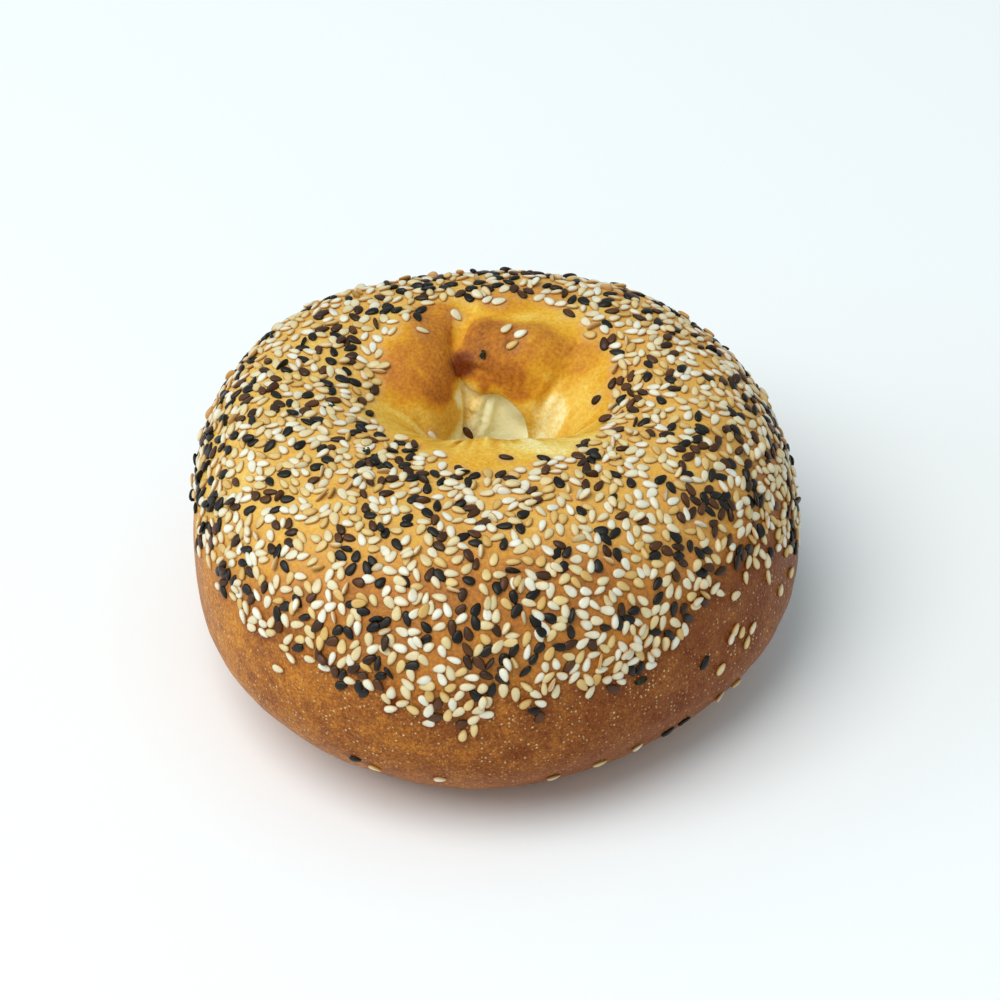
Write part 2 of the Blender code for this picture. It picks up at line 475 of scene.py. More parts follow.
def bread_from_node(node):
    """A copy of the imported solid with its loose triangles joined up, remeshed in even cells."""
    settings = bpy.context.scene.bagel_bread
    bread = bpy.data.objects.new("bread", node.data.copy())
    bpy.context.scene.collection.objects.link(bread)
    bread.data.materials.clear()
    select_only(bread)
    bpy.ops.object.mode_set(mode="EDIT")
    bpy.ops.mesh.select_all(action="SELECT")
    bpy.ops.mesh.remove_doubles(threshold=0.01 * MM)
    bpy.ops.object.mode_set(mode="OBJECT")
    apply_modifier(bread, "REMESH", mode="VOXEL", voxel_size=settings.cell, use_smooth_shade=True)
    return bread


def melt_joins(bread):
    """Rounds the whole surface a little, and rounds it much more away from the folds round the hole."""
    apply_modifier(bread, "SMOOTH", factor=0.5, iterations=SMOOTHING)
    points = read_points(bread.data)
    melt = smoothstep(0.75, 1.0, bare_share(points))
    melt = np.maximum(melt, smoothstep(26.0, 18.0, points[:, 2]))
    for place, reach in MELTED:
        melt = np.maximum(melt, nearness(points, place, reach))
    group = bread.vertex_groups.new(name="melted")
    for index, weight in enumerate(melt):
        group.add((index,), float(weight), "REPLACE")
    apply_modifier(bread, "SMOOTH", factor=0.5, iterations=MELTING, vertex_group="melted")
    bread.vertex_groups.clear()


def swell_crust(bread):
    """The uneven swelling of a proved dough."""
    swell = bpy.context.scene.bagel_bread.swell
    for width, share in SWELLS:
        displace(bread, width, 2.0 * (share * swell), depth=1)


def cut_finer(bread):
    """Cuts the mesh finer round the hole, and finer again round its folds."""
    for middle, half in FINE_OVALS:
        select_only(bread)
        bpy.ops.object.mode_set(mode="EDIT")
        bpy.ops.mesh.select_all(action="DESELECT")
        bpy.ops.object.mode_set(mode="OBJECT")
        faces = bread.data.polygons
        centres = read_rows(faces, "center") / MM
        inside = (oval_share(centres, middle, half) < 1.0) & (centres[:, 2] > HOLE_FLOOR)
        faces.foreach_set("select", inside)
        bpy.ops.object.mode_set(mode="EDIT")
        bpy.ops.mesh.subdivide(number_cuts=1, smoothness=0.7)
        bpy.ops.object.mode_set(mode="OBJECT")


def nearest_on_line(points, line):
    """For each point: its distance from a line of straight parts, its offset from the nearest place on it,
    that part's direction, and how far along the line that place is, from 0 to 1.
    """
    best = np.full(len(points), np.inf)
    offsets = np.zeros_like(points)
    directions = np.zeros_like(points)
    along = np.zeros(len(points))
    line = np.array(line)
    lengths = np.linalg.norm(np.diff(line, axis=0), axis=1)
    passed = 0.0
    for start, end, part_length in zip(line, line[1:], lengths):
        direction = (end - start) / part_length
        reached = np.clip((points - start) @ direction, 0.0, part_length)
        offset = points - (start + reached[:, None] * direction)
        distance = np.linalg.norm(offset, axis=1)
        nearer = distance < best
        best[nearer] = distance[nearer]
        offsets[nearer] = offset[nearer]
        directions[nearer] = direction
        along[nearer] = (passed + reached[nearer]) / lengths.sum()
        passed += part_length
    return best, offsets, directions, along


def pull_dough(bread):
    points = read_points(bread.data)
    for place, pull, reach in PULLS.values():
        points += nearness(points, place, reach)[:, None] * np.array(pull)
    write_points(bread.data, points)


def beside_line(points, normals, line):
    """For each point: its distance from a line that lies on the bread, how far it is to the line's left, and
    how far along the line, from 0 to 1.
    """
    distance, offsets, directions, along = nearest_on_line(points, line)
    side = np.einsum("ij,ij->i", offsets, np.cross(normals, directions))
    return distance, side, along


def raise_ledges(bread):
    points = read_points(bread.data)
    for width, height, line in LEDGES.values():
        normals = read_normals(bread.data)
        distance, side, along = beside_line(points, normals, line)
        step = smoothstep(-LEDGE_SLOPE, LEDGE_SLOPE, side) - 0.5
        fade = smoothstep(0.0, 0.25, along) * np.exp(-(distance / width) ** 2)
        points += normals * (height * step * fade)[:, None]
        write_points(bread.data, points)


def press_creases(bread):
    points = read_points(bread.data)
    normals = read_normals(bread.data)
    for width, depth, line in CREASES.values():
        distance, _, _, along = nearest_on_line(points, line)
        lip = np.exp(-((distance - LIP_PLACE * width) / width) ** 2)
        profile = np.exp(-(distance / width) ** 2) - LIP_SHARE * lip
        profile *= smoothstep(0.0, 0.3, along) * smoothstep(1.0, 0.7, along)
        points -= normals * (depth * profile)[:, None]
    write_points(bread.data, points)


def pleat_depth(points):
    """How deep the fine pleats lie that spread from the hole over its lip, from -1 to 1."""
    offset = points[:, :2] - np.array(PLEAT_MIDDLE)
    angle = np.arctan2(offset[:, 1], offset[:, 0])
    radius = np.hypot(offset[:, 0], offset[:, 1])
    where = np.exp(-((radius - PLEAT_RING) / PLEAT_RING_WIDTH) ** 2) * smoothstep(36.0, 46.0, points[:, 2])
    where *= 0.15 + 0.85 * smoothstep(0.3, -0.4, np.sin(angle))
    depth = np.zeros(len(points))
    for row in np.flatnonzero(where > 0.02):
        around = PLEAT_COUNT * math.cos(angle[row]), PLEAT_COUNT * math.sin(angle[row])
        around = Vector((*around, PLEAT_CHANGE * radius[row]))
        depth[row] = where[row] * (noise.noise(around) + 0.6 * noise.noise(around * 2.1))
    return depth


def press_pleats(bread):
    points = read_points(bread.data)
    points -= read_normals(bread.data) * (PLEAT_SIZE * pleat_depth(points))[:, None]
    write_points(bread.data, points)


def rest_on_floor(bread):
    points = read_points(bread.data)
    points[:, 2] = np.maximum(points[:, 2], 0.0)
    write_points(bread.data, points)


def bake_and_shade_at(points, normals):
    """How dark the crust is at each point, from 0 to 1: how far it has baked, with painted shade and painted
    light added on the flank's sides, in the pleats and on the far crest.
    """
    height = points[:, 2]
    inside = smoothstep(1.02, 0.86, bare_share(points))
    bake_and_shade = CREST_BAKED + SHOULDER_DARKER * smoothstep(CREST_HEIGHT, SHOULDER_HEIGHT, height)
    # Painted shade on the flank's side away from the lamps, and painted light on its lit side.
    facing_shaded_side = points[:, :2] @ np.array(FLANK_SHADED_SIDE) / np.hypot(points[:, 0], points[:, 1])
    flank = FLANK_BAKED + FLANK_PAINTED_SHADE * facing_shaded_side
    bake_and_shade += (flank - bake_and_shade) * smoothstep(5.0, -3.5, height - seed_line_height(points)) * (1.0 - inside)
    bake_and_shade += (FUNNEL_BAKED - bake_and_shade) * inside
    for place, reach, dark in BAKED_AND_PAINTED_LIGHT.values():
        bake_and_shade += (dark - bake_and_shade) * smoothstep(BAKED_FAR, BAKED_NEAR, nearness(points, place, reach))
    _, _, hem = LEDGES["hem_of_nose"]
    distance, side, along = beside_line(points, normals, hem)
    edge = smoothstep(-0.1, 0.2, side) * smoothstep(3.5, 1.5, distance) * smoothstep(0.0, 0.1, along)
    bake_and_shade = np.maximum(bake_and_shade, edge * (HEM_BAKED - HEM_PALER * along))
    hidden = smoothstep(0.15, -0.15, side) * smoothstep(6.0, 4.0, distance) * smoothstep(0.07, 0.2, along)
    bake_and_shade += (HIDDEN_BAKED - bake_and_shade) * hidden
    bake_and_shade += (TONGUE_BAKED - bake_and_shade) * smoothstep(BAKED_FAR, BAKED_NEAR, nearness(points, *TONGUE))
    # Painted shade in the pleats' grooves and painted light on their ridges.
    bake_and_shade += PLEAT_PAINTED_SHADE * pleat_depth(points)
    bake_and_shade += (BASE_BAKED - bake_and_shade) * smoothstep(9.0, 2.0, height)
    return np.clip(bake_and_shade, -0.1, 1.0)


# ------------------------------
# Materials

# The crust's uneven patterns: width, detail and roughness.
CRUST_PATTERNS = {
    "patches": (9.0, 3.0, 0.55),
    "grain": (0.7, 2.0, 0.6),
    "blotches": (2.5, 2.0, 0.6),
    "specks": (0.4, 2.0, 0.7),
    "drifts": (6.0, 2.0, 0.5),
}

# How much each darkens the crust. Blotches are stronger on the flanks, where specks are pores and scorches,
# and drifts hold more blisters. Nearness to a seed darkens the crust as painted shade.
PATCHES_DARKER = 0.30
GRAIN_DARKER = 0.34
BLOTCHES_DARKER = 0.08
FLANK_BLOTCHES = 0.18
FLANK_SPECKS = 0.50
SEED_PAINTED_SHADE = 0.05
PATTERN_MEAN = 0.5

# The darkness at which the crust has each colour.
CRUST_STOPS = {"cream": 0.0, "straw": 0.24, "gold": 0.43, "amber": 0.60, "brown": 0.76, "umber": 0.97}

# Blisters on the flanks: how far apart they are.
BLISTER_SPACING = 0.7


def new_material(name):
    material = bpy.data.materials.new(name)
    material.use_nodes = True
    return material, material.node_tree.nodes["Principled BSDF"]


def fill_sockets(node, inputs):
    """Sets a node's inputs, each to a value or to the output that it is linked from."""
    for name, value in inputs.items():
        if isinstance(value, bpy.types.NodeSocket):
            node.id_data.links.new(value, node.inputs[name])
        else:
            node.inputs[name].default_value = value


def add_node(material, kind, inputs=None, output=0, **settings):
    """Adds a shader node with its settings and inputs, and gives one of its outputs."""
    node = material.node_tree.nodes.new("ShaderNode" + kind)
    for name, value in settings.items():
        setattr(node, name, value)
    fill_sockets(node, inputs or {})
    return node.outputs[output]


def set_ramp(node, stops):
    """Sets a colour ramp's stops, each a place and a linear colour."""
    elements = node.color_ramp.elements
    while len(elements) < len(stops):
        elements.new(0.5)
    for element, (place, rgb) in zip(elements, stops):
        element.position = place
        element.color = (*rgb, 1.0)


def crust_material():
    """Baked crust of a boiled, egg-washed dough: a thin, slightly glossy skin, gold where it is thin and
    brown where it is thick, with fine pale blisters on the flanks.
    """
    settings = bpy.context.scene.bagel_bread
    tan = (*settings.tan, 1.0)
    material, shader = new_material("baked_crust")
    add = partial(add_node, material)
    place = add("TexCoord", output="Object")
    # How dark the crust has baked, with painted shade and painted light added.
    bake_and_shade = add("Attribute", output="Fac", attribute_name="bake_and_shade")
    seeded = add("Attribute", output="Fac", attribute_name="seeded")
    patches, grain, blotches, specks, drifts = (
        add(
            "TexNoise",
            {"Vector": place, "Scale": 1 / (width * MM), "Detail": detail, "Roughness": roughness},
        )
        for width, detail, roughness in CRUST_PATTERNS.values()
    )

    # The flank is where it is both low and brown.
    height = add("SeparateXYZ", {"Vector": place}, output="Z")
    low = add("MapRange", {"Value": height, "From Min": 42.0 * MM, "From Max": 30.0 * MM})
    brown = add("MapRange", {"Value": bake_and_shade, "From Min": 0.4, "From Max": 0.6})
    flank = add("Math", {0: low, 1: brown}, operation="MULTIPLY")

    blotch, speck = (
        add("Math", {0: pattern, 1: PATTERN_MEAN}, operation="SUBTRACT") for pattern in (blotches, specks)
    )
    blotch_share = add("Math", {0: flank, 1: FLANK_BLOTCHES, 2: BLOTCHES_DARKER}, operation="MULTIPLY_ADD")
    speck_share = add("Math", {0: flank, 1: FLANK_SPECKS}, operation="MULTIPLY")
    # Close beside a seed the crust is painted darker: painted shade between the seeds.
    layers = [bake_and_shade]
    for pattern, share in (
        (patches, PATCHES_DARKER),
        (grain, GRAIN_DARKER),
        (blotch, blotch_share),
        (speck, speck_share),
        (seeded, SEED_PAINTED_SHADE),
    ):
        darker = {0: pattern, 1: share, 2: layers[-1]}
        layers.append(add("Math", darker, operation="MULTIPLY_ADD"))
    _, _, _, blotchy, _, with_seed_shade = layers
    darkness = add(
        "Math", {0: with_seed_shade, 1: PATTERN_MEAN * (PATCHES_DARKER + GRAIN_DARKER)}, operation="SUBTRACT"
    )
    ramp = add("ValToRGB", {"Fac": darkness})
    set_ramp(ramp.node, [(stop, getattr(settings, name)) for name, stop in CRUST_STOPS.items()])

    # The seeds keep the glaze off the crust between them, which stays duller where it isn't brown.
    pale = add("MapRange", {"Value": bake_and_shade, "From Min": 0.66, "From Max": 0.42, "To Max": 0.30})
    dull = add("Math", {0: seeded, 1: pale}, operation="MULTIPLY")
    crust = add("Mix", {"Factor": dull, "A": ramp, "B": tan}, output="Result", data_type="RGBA")

    # Each blister is up to 0.4 mm wide, and some cells have none.
    chance = add("TexVoronoi", {"Vector": place, "Scale": 1 / (BLISTER_SPACING * MM)}, output="Color")
    distance = chance.node.outputs["Distance"]
    chance = add("SeparateColor", {"Color": chance}, output="Red")
    apart = add("Math", {0: chance, 1: 0.45, 2: distance}, operation="MULTIPLY_ADD")
    blister = add(
        "MapRange", {"Value": apart, "From Min": 0.44, "From Max": 0.20}, interpolation_type="SMOOTHSTEP"
    )
    drifted = add(
        "MapRange", {"Value": drifts, "From Min": 0.35, "From Max": 0.65, "To Min": 0.4, "To Max": 0.95}
    )
    where = add("Math", {0: flank, 1: drifted}, operation="MULTIPLY")
    shown = add("Math", {0: blister, 1: where}, operation="MULTIPLY")
    spotted = add("Mix", {"Factor": shown, "A": crust, "B": tan}, output="Result", data_type="RGBA")

    relief = add("Math", {0: shown, 1: 0.9, 2: grain}, operation="MULTIPLY_ADD")
    relief = add("Math", {0: blotchy, 1: 1.6, 2: relief}, operation="MULTIPLY_ADD")
    bump = add("Bump", {"Height": relief, "Strength": 0.6, "Distance": 0.16 * MM})
    fill_sockets(shader, {"Base Color": spotted, "Normal": bump})
    fill_sockets(shader, {"Roughness": 0.42, "IOR": 1.45, "Specular IOR Level": 0.09})
    glow = (1.2 * MM, 0.6 * MM, 0.3 * MM)
    fill_sockets(shader, {"Subsurface Weight": 0.08, "Subsurface Radius": glow, "Subsurface Scale": 1.0})
    return material


SEED_LOOKS = {
    # name: pale colour, deep colour, colour of the tip and of the painted shade round the rim, roughness
    "sesame_white": ("#E8E4D4", "#DCC48E", "#C08536", 0.33),
    "sesame_golden": ("#E5C88C", "#D4A75E", "#A6742F", 0.36),
    "sesame_brown": ("#5E3619", "#331D0D", "#22130A", 0.38),
    "sesame_black": ("#271F19", "#14100B", "#0F0B08", 0.42),
}


def seed_material(kind):
    """Skin of a sesame seed: satin, deeper in colour at the pointed end, with painted warm shade and bounced
    light round its rim.
    """
    pale, deep, tip_and_rim_shade, roughness = SEED_LOOKS[kind]
    material, shader = new_material(kind)
    add = partial(add_node, material)
    place = add("TexCoord", output="Object")
    tone, along, rim = (
        add("Attribute", output="Fac", attribute_name=name) for name in ("tone", "along", "rim")
    )
    # Mottling 0.5 mm across.
    mottle = add("TexNoise", {"Vector": place, "Scale": 1 / (0.5 * MM), "Detail": 2.0})
    mixed = add("Math", {0: mottle, 1: 0.5, 2: tone}, operation="MULTIPLY_ADD")
    shade = add("Math", {0: mixed, 1: 0.25}, operation="SUBTRACT", use_clamp=True)
    pointed = add("MapRange", {"Value": along, "From Min": 0.6, "From Max": 1.0, "To Max": 0.7})
    # Painted warm shade and bounced light from the crust round the seed's rim, in the tip's colour.
    rim_shade = add("MapRange", {"Value": rim, "From Min": 0.18, "From Max": 0.85, "To Max": 0.85})
    edge = add("Math", {0: pointed, 1: rim_shade}, operation="MAXIMUM")
    skin = (*srgb(pale), 1.0)
    for share, code in ((shade, deep), (edge, tip_and_rim_shade)):
        mix = {"Factor": share, "A": skin, "B": (*srgb(code), 1.0)}
        skin = add("Mix", mix, output="Result", data_type="RGBA")
    bump = add("Bump", {"Height": mottle, "Strength": 0.3, "Distance": 0.08 * MM})
    fill_sockets(shader, {"Base Color": skin, "Normal": bump})
    fill_sockets(shader, {"Roughness": roughness, "IOR": 1.47, "Specular IOR Level": 0.30})
    return material


def herb_material():
    """Dried green herb: matt, mottled from dark olive to nearly black."""
    material, shader = new_material("dried_herb")
    add = partial(add_node, material)
    place = add("TexCoord", output="Object")
    # Mottling 0.6 mm across.
    mottle = add("TexNoise", {"Vector": place, "Scale": 1 / (0.6 * MM), "Detail": 2.0})
    ramp = add("ValToRGB", {"Fac": mottle})
    set_ramp(ramp.node, ((0.35, srgb("#15170F")), (0.7, srgb("#3E432B"))))
    fill_sockets(shader, {"Base Color": ramp, "Roughness": 0.7, "Specular IOR Level": 0.2})
    return material


def paper_material():
    """Matt white background paper, with no sheen of its own."""
    material, shader = new_material("background_paper")
    paper = (*bpy.context.scene.bagel_stage.floor_colour, 1.0)
    fill_sockets(shader, {"Base Color": paper, "Roughness": 0.9, "Specular IOR Level": 0.1})
    return material


# ------------------------------
# Seeds


def seed_shapes():
    """The sesame seeds' shapes, lying flat along X with their points at +X: a list of points in millimetres
    for each shape, and the faces that they share. One is plump, one has sunk in the middle as it dried, and
    one is slim.
    """
    settings = bpy.context.scene.bagel_seeds
    size = np.array((settings.seed_length, settings.seed_width, settings.seed_thickness)) / MM
    bpy.ops.object.select_all(action="DESELECT")
    bpy.ops.mesh.primitive_uv_sphere_add(
        segments=10, ring_count=7, radius=0.5, rotation=(0.0, math.pi / 2, 0.0)
    )
    seed = bpy.context.object
    bpy.ops.object.transform_apply(location=False, rotation=True, scale=False)
    bpy.ops.transform.resize(value=size * MM)
    bpy.ops.object.transform_apply(location=False, rotation=False, scale=True)
    apply_modifier(seed, "SIMPLE_DEFORM", deform_method="TAPER", deform_axis="X", factor=-0.5)
    points = read_points(seed.data)
    points *= size / np.ptp(points, axis=0)
    points -= 0.5 * (points.max(axis=0) + points.min(axis=0))
    faces = [tuple(face.vertices) for face in seed.data.polygons]
    bpy.data.objects.remove(seed)

    across = np.hypot(points[:, 0] / size[0], points[:, 1] / size[1])
    sunk = points.copy()
    sunk[:, 2] *= 1.0 - 0.45 * smoothstep(0.45, 0.05, across)
    slim = points * np.array((0.98, 0.84, 0.95))
    slim[:, 2] += 0.10 * (points[:, 0] / size[0]) ** 2
    return [points, sunk, slim], faces


def surface_samples(bread, count, draw):
    """Even random places on the bread: points in millimetres and the surface's directions there."""
    mesh = bread.data
    areas = read_rows(mesh.polygons, "area", 1)[:, 0]
    chosen = draw.choice(len(areas), size=count, p=areas / areas.sum())
    points = read_points(mesh)
    normals = read_normals(mesh)
    places = np.empty((count, 3))
    directions = np.empty((count, 3))
    for row, index in enumerate(chosen):
        corners = list(mesh.polygons[index].vertices)
        weights = draw.dirichlet(np.ones(len(corners)))
        places[row] = weights @ points[corners]
        directions[row] = weights @ normals[corners]
    return places, directions / np.linalg.norm(directions, axis=1, keepdims=True)


def seeded_share(places):
    """How likely a seed is to have stuck at each place: 1 where they lie thick, 0 on bare crust."""
    ragged = np.array([noise.noise(Vector(place) / RAGGED_WIDTH) for place in places])
    above = places[:, 2] - seed_line_height(places) + RAGGED_DOWN * ragged
    outside = bare_share(places) + RAGGED_IN * ragged
    thick = np.ones(len(places))
    for place, reach in THIN_PATCHES:
        thick -= THIN_SHARE * np.exp(-((np.linalg.norm(places - place, axis=1) / reach) ** 2))
    return smoothstep(-2.0, 1.5, above) * smoothstep(0.97, 1.05, outside) * np.clip(thick, 0.0, 1.0)


def seed_frame(direction, spin, tilt=0.0, roll=0.0):
    """Turns a seed to lie on the surface: spin about the surface's direction, then tilt and roll off it."""
    turn = Vector(direction).to_track_quat("Z", "Y").to_matrix()
    for angle, axis in ((spin, "Z"), (tilt, "Y"), (roll, "X")):
        turn = turn @ Matrix.Rotation(angle, 3, axis)
    return turn


def spin_for(direction, lean):
    """The spin that leans a seed by so many degrees from level, as seen from the front and above."""
    across, up = math.cos(math.radians(lean)), math.sin(math.radians(lean))
    wanted = Vector((across, VIEW_UP[0] * up, VIEW_UP[1] * up))
    flat = seed_frame(direction, 0.0).transposed() @ wanted
    return math.atan2(flat.y, flat.x)


class SeedBed:
    """The seeds laid so far, each as two round spots, in a grid of cells to find near ones quickly."""

    CELL_SIZE = 3.0

    def __init__(self, offset):
        self.offset = offset
        self.cells = {}

    def spots(self, place, direction, spin):
        aside = seed_frame(direction, spin) @ Vector((1.0, 0.0, 0.0)) * self.offset
        return (place + aside, place - aside)

    def clear(self, spots, reach):
        for spot in spots:
            cx, cy, cz = (math.floor(value / self.CELL_SIZE) for value in spot)
            for x in (cx - 1, cx, cx + 1):
                for y in (cy - 1, cy, cy + 1):
                    for z in (cz - 1, cz, cz + 1):
                        for other in self.cells.get((x, y, z), ()):
                            if (other - spot).length < reach:
                                return False
        return True

    def lay(self, spots):
        for spot in spots:
            cell = tuple(math.floor(value / self.CELL_SIZE) for value in spot)
            self.cells.setdefault(cell, []).append(spot)


def pick_kind(place, draw):
    """The kind of seed for a place: dark ones keep together in drifts and patches."""
    drift = noise.noise(Vector(place) / DRIFT_WIDTH)
    patch = max(
        math.exp(-((Vector(place) - Vector(spot)).length / reach) ** 2) for spot, reach in DARK_PATCHES
    )
    dark_share = bpy.context.scene.bagel_seeds.dark_share + DRIFT_DARKER * drift + PATCH_DARKER * patch
    if draw.random() < dark_share:
        return "sesame_black" if draw.random() < BLACK_SHARE else "sesame_brown"
    return "sesame_golden" if draw.random() < GOLDEN_SHARE else "sesame_white"


def lay_seeds(bread):
    """Scatters seeds over the bread. Gives each kind's list of (place, turn, size, shape)."""
    settings = bpy.context.scene.bagel_seeds
    draw = random.Random(SEEDS_START)
    places, directions = surface_samples(bread, settings.tries, np.random.default_rng(PLACES_START))
    width = settings.seed_width / MM
    bed = SeedBed(0.5 * (settings.seed_length / MM - width))
    reach = settings.crowding * width
    laid = {kind: [] for kind in SEED_LOOKS}

    def lay(kind, place, direction, spin, tilt, roll, lift):
        turn = seed_frame(direction, spin, tilt, roll)
        size = tuple(draw.uniform(*spread) for spread in SEED_SPREAD)
        laid[kind].append((place + direction * lift, turn, size, draw.choice(SEED_SHAPES)))

    tree = bread_tree(bread)
    for kind in laid:
        for *spot, lean in LOOSE[kind]:
            place, direction, _, _ = tree.find_nearest(spot)
            spin = spin_for(direction, lean)
            bed.lay(bed.spots(place, direction, spin))
            tilt, roll = (draw.gauss(0.0, sway) for sway in LOOSE_SWAY)
            lay(kind, place, direction, spin, tilt, roll, LOOSE_LIFT)
    for place, direction, share in zip(places, directions, seeded_share(places)):
        if draw.random() > share:
            continue
        place, direction = Vector(place), Vector(direction)
        spin = draw.uniform(0.0, math.tau)
        spots = bed.spots(place, direction, spin)
        if not bed.clear(spots, reach):
            continue
        bed.lay(spots)
        kind = pick_kind(place, draw)
        if draw.random() < ON_EDGE_SHARE:
            roll = draw.choice((-1, 1)) * draw.uniform(*ON_EDGE_ROLL)
            lift = ON_EDGE_LIFT
        else:
            roll = draw.gauss(0.0, LAID_ROLL)
            lift = PRESSED_LIFT
        lay(kind, place, direction, spin, draw.gauss(0.0, LAID_TILT), roll, lift)
        if draw.random() < STACKED_SHARE:
            aside = Vector((draw.uniform(-STACKED_ALONG, STACKED_ALONG), draw.choice((-1.0, 1.0)), 0.0))
            beside = place + seed_frame(direction, spin) @ aside
            other = kind if draw.random() < 0.5 else pick_kind(place, draw)
            spin += draw.uniform(-STACKED_SPIN, STACKED_SPIN)
            lay(other, beside, direction, spin, draw.gauss(0.0, LAID_TILT), STACKED_ROLL, STACKED_LIFT)
    return laid


def shade_crust_round_seeds(bread, laid):
    """Marks how close each point of the crust lies to a seed, from 0 well away to 1 beside it. The crust is
    painted darker there, as painted shade.
    """
    places = [place for placed in laid.values() for place, _, _, _ in placed]
    tree = KDTree(len(places))
    for index, place in enumerate(places):
        tree.insert(place, index)
    tree.balance()
    distances = np.array([tree.find(point)[2] for point in read_points(bread.data)])
    write_attribute(bread.data, "seeded", smoothstep(SEED_SHADE_FAR, SEED_SHADE_NEAR, distances))


def bread_tree(bread):
    """Finds the bread's nearest place to a spot, in millimetres, and the surface's direction there."""
    return BVHTree.FromPolygons(
        [vertex.co / MM for vertex in bread.data.vertices], [face.vertices for face in bread.data.polygons]
    )


def join_copies(name, shapes, faces, placed, draw):
    """One mesh of many copies of a few shapes, with each copy's tone, each point's place along the copy, and
    its nearness to the copy's rim.
    """
    per = len(shapes[0])
    points = np.empty((len(placed) * per, 3))
    tones = np.empty(len(points))
    along = np.empty(len(points))
    rims = np.empty(len(points))
    for row, (place, turn, size, chosen) in enumerate(placed):
        shape = shapes[chosen]
        block = slice(row * per, (row + 1) * per)
        points[block] = (shape * np.array(size)) @ np.array(turn).T + np.array(place)
        tones[block] = draw.random()
        along[block] = shape[:, 0] / np.abs(shape[:, 0]).max()
        rims[block] = 1.0 - shape[:, 2] / shape[:, 2].max()
    all_faces = [
        tuple(corner + row * per for corner in face) for row in range(len(placed)) for face in faces
    ]
    mesh = bpy.data.meshes.new(name)
    mesh.from_pydata((points * MM).tolist(), [], all_faces)
    mesh.shade_smooth()
    for attribute, values in (("tone", tones), ("along", along), ("rim", np.clip(rims, 0.0, 1.0))):
        write_attribute(mesh, attribute, values)
    piece = bpy.data.objects.new(name, mesh)
    bpy.context.scene.collection.objects.link(piece)
    return piece


def flake_shape():
    """One dried herb flake, a crumpled leaf scrap: its points in millimetres and its faces."""
    long, wide, thick = FLAKE_SIZE
    bpy.ops.object.select_all(action="DESELECT")
    bpy.ops.mesh.primitive_grid_add(x_subdivisions=6, y_subdivisions=4, size=1.0)
    flake = bpy.context.object
    bpy.ops.transform.resize(value=(long * MM, wide * MM, 1.0))
    bpy.ops.object.transform_apply(location=False, rotation=False, scale=True)
    displace(flake, CRUMPLE_WIDTH, CRUMPLE_HEIGHT * MM, depth=2)
    apply_modifier(flake, "SOLIDIFY", thickness=thick * MM, offset=0.0)
    points = read_points(flake.data)
    points[:, 1] *= 1.0 - 0.6 * (points[:, 0] / (0.5 * long)) ** 2
    faces = [tuple(face.vertices) for face in flake.data.polygons]
    bpy.data.objects.remove(flake)
    return points, faces


# ------------------------------
# Operators


class BAGEL_OT_bread(Operator):
    """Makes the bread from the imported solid, with its baked crust"""

    bl_idname = "bagel.bread"
    bl_label = "Bake the bread"

    def execute(self, context):
        bread = bread_from_node(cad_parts[BREAD_NODE])
        melt_joins(bread)
        swell_crust(bread)
        cut_finer(bread)
        pull_dough(bread)
        raise_ledges(bread)
        press_creases(bread)
        press_pleats(bread)
        rest_on_floor(bread)
        points = read_points(bread.data)
        # The crust's darkness: its baking, with painted shade and painted light added.
        write_attribute(bread.data, "bake_and_shade", bake_and_shade_at(points, read_normals(bread.data)))
        bread.data.shade_smooth()
        bread.data.materials.append(crust_material())
        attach(bread, "root")
        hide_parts(BREAD_NODE)
        return {"FINISHED"}


class BAGEL_OT_seeds(Operator):
    """Scatters the sesame seeds over the bread, one piece for each kind"""

    bl_idname = "bagel.seeds"
    bl_label = "Scatter the seeds"

    def execute(self, context):
        bread = bpy.data.objects["bread"]
        laid = lay_seeds(bread)
        shade_crust_round_seeds(bread, laid)
        shapes, faces = seed_shapes()
        draw = random.Random(TONES_START)
        for kind, placed in laid.items():
            piece = join_copies(kind, shapes, faces, placed, draw)
            piece.data.materials.append(seed_material(kind))
            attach(piece, "root")
        return {"FINISHED"}


class BAGEL_OT_herbs(Operator):
    """Lays the dried herb flakes that came with the seeds"""

    bl_idname = "bagel.herbs"
    bl_label = "Lay the herbs"

    def execute(self, context):
        draw = random.Random(HERBS_START)
        tree = bread_tree(bpy.data.objects["bread"])
        shape, faces = flake_shape()
        placed = []
        for *spot, lean in LOOSE["dried_herb"]:
            place, direction, _, _ = tree.find_nearest(spot)
            tilt, roll = (draw.gauss(0.0, sway) for sway in FLAKE_SWAY)
            turn = seed_frame(direction, spin_for(direction, lean), tilt, roll)
            size = (*(draw.uniform(*spread) for spread in FLAKE_SPREAD), 1.0)
            placed.append((place + direction * FLAKE_LIFT, turn, size, 0))
        piece = join_copies("dried_herb", [shape], faces, placed, draw)
        piece.data.materials.append(herb_material())
        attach(piece, "root")
        return {"FINISHED"}


def soft_light(name, place, aim, size, watts, light_colour):
    bpy.ops.object.light_add(type="AREA", location=place)
    light = bpy.context.object
    light.name = name
    light.rotation_euler = (aim - light.location).to_track_quat("-Z", "Y").to_euler()
    light.data.shape = "DISK"
    light.data.size = size
    light.data.energy = watts
    light.data.color = light_colour


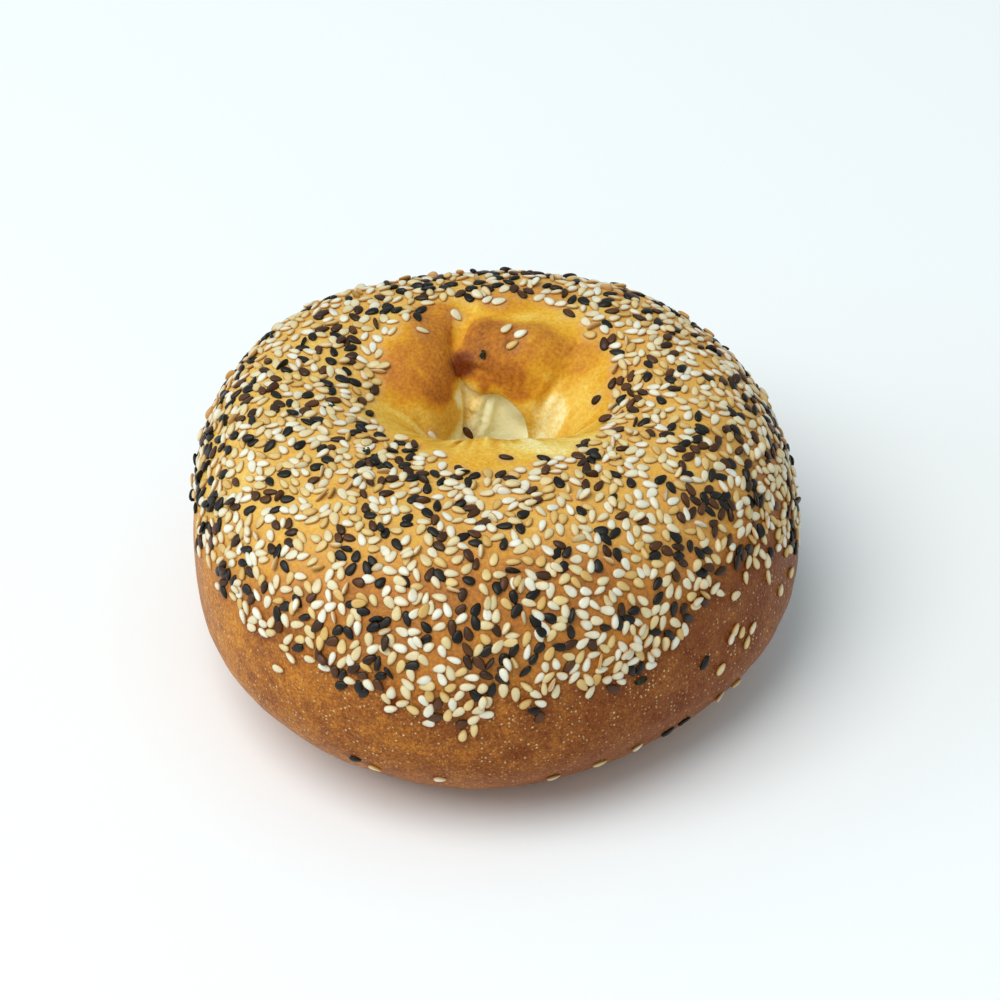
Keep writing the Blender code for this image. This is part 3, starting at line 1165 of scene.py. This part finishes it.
class BAGEL_OT_stage(Operator):
    """Sets up the paper floor, the room's light, the lamps and the camera"""

    bl_idname = "bagel.stage"
    bl_label = "Set the stage"

    # In metres, apart from the lens, which is in millimetres.
    FLOOR_SIZE = 6.0
    KEY_PLACE = (-0.60, -0.50, 1.58)
    SIDE_PLACE = (-0.85, -0.23, 0.47)
    AIM_OFFSET = Vector((0.5, 4.1, 2.2)) * MM
    LENS = 192.5

    def execute(self, context):
        settings = context.scene.bagel_stage
        low, high = (Vector(corner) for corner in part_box(BREAD_NODE))
        middle = (low + high) / 2
        bpy.ops.object.select_all(action="DESELECT")
        bpy.ops.mesh.primitive_plane_add(size=self.FLOOR_SIZE, location=(0.0, 0.0, low.z))
        floor = context.object
        floor.name = "floor"
        floor.data.materials.append(paper_material())

        world = bpy.data.worlds.new("white_room")
        world.use_nodes = True
        background = world.node_tree.nodes["Background"]
        background.inputs["Color"].default_value = (*settings.sky_colour, 1.0)
        background.inputs["Strength"].default_value = settings.fill_strength
        context.scene.world = world

        key = (settings.key_size, settings.key_power, settings.key_colour)
        side = (settings.side_size, settings.side_power, settings.side_colour)
        soft_light("soft_light", self.KEY_PLACE, middle, *key)
        soft_light("side_light", self.SIDE_PLACE, middle, *side)

        aim = middle + self.AIM_OFFSET
        angle = settings.camera_angle
        away = Vector((0.0, -math.cos(angle), math.sin(angle)))
        bpy.ops.object.camera_add(location=aim + away * settings.camera_distance)
        camera = context.object
        camera.rotation_euler = (-away).to_track_quat("-Z", "Y").to_euler()
        camera.data.lens = self.LENS
        camera.data.clip_start = 0.05
        context.scene.camera = camera
        context.scene.view_settings.view_transform = "Standard"
        return {"FINISHED"}


class BAGEL_PT_panel(Panel):
    bl_label = "Sesame Bagel"
    bl_idname = "BAGEL_PT_panel"
    bl_space_type = "VIEW_3D"
    bl_region_type = "UI"
    bl_category = "Bagel"

    def draw(self, context):
        for settings, operators in (
            (context.scene.bagel_bread, (BAGEL_OT_bread,)),
            (context.scene.bagel_seeds, (BAGEL_OT_seeds, BAGEL_OT_herbs)),
            (context.scene.bagel_stage, (BAGEL_OT_stage,)),
        ):
            box = self.layout.box()
            for name in settings.__annotations__:
                box.prop(settings, name)
            for operator in operators:
                box.operator(operator.bl_idname)


SETTINGS = {"bagel_bread": BreadSettings, "bagel_seeds": SeedSettings, "bagel_stage": StageSettings}
CLASSES = (
    *SETTINGS.values(), BAGEL_OT_bread, BAGEL_OT_seeds, BAGEL_OT_herbs, BAGEL_OT_stage, BAGEL_PT_panel
)


def register():
    for cls in CLASSES:
        bpy.utils.register_class(cls)
    for name, cls in SETTINGS.items():
        setattr(bpy.types.Scene, name, PointerProperty(type=cls))


def unregister():
    for name in SETTINGS:
        delattr(bpy.types.Scene, name)
    for cls in reversed(CLASSES):
        bpy.utils.unregister_class(cls)


def main():
    register()
    bpy.ops.bagel.bread()
    bpy.ops.bagel.seeds()
    bpy.ops.bagel.herbs()
    bpy.ops.bagel.stage()


if __name__ == "__main__":
    main()
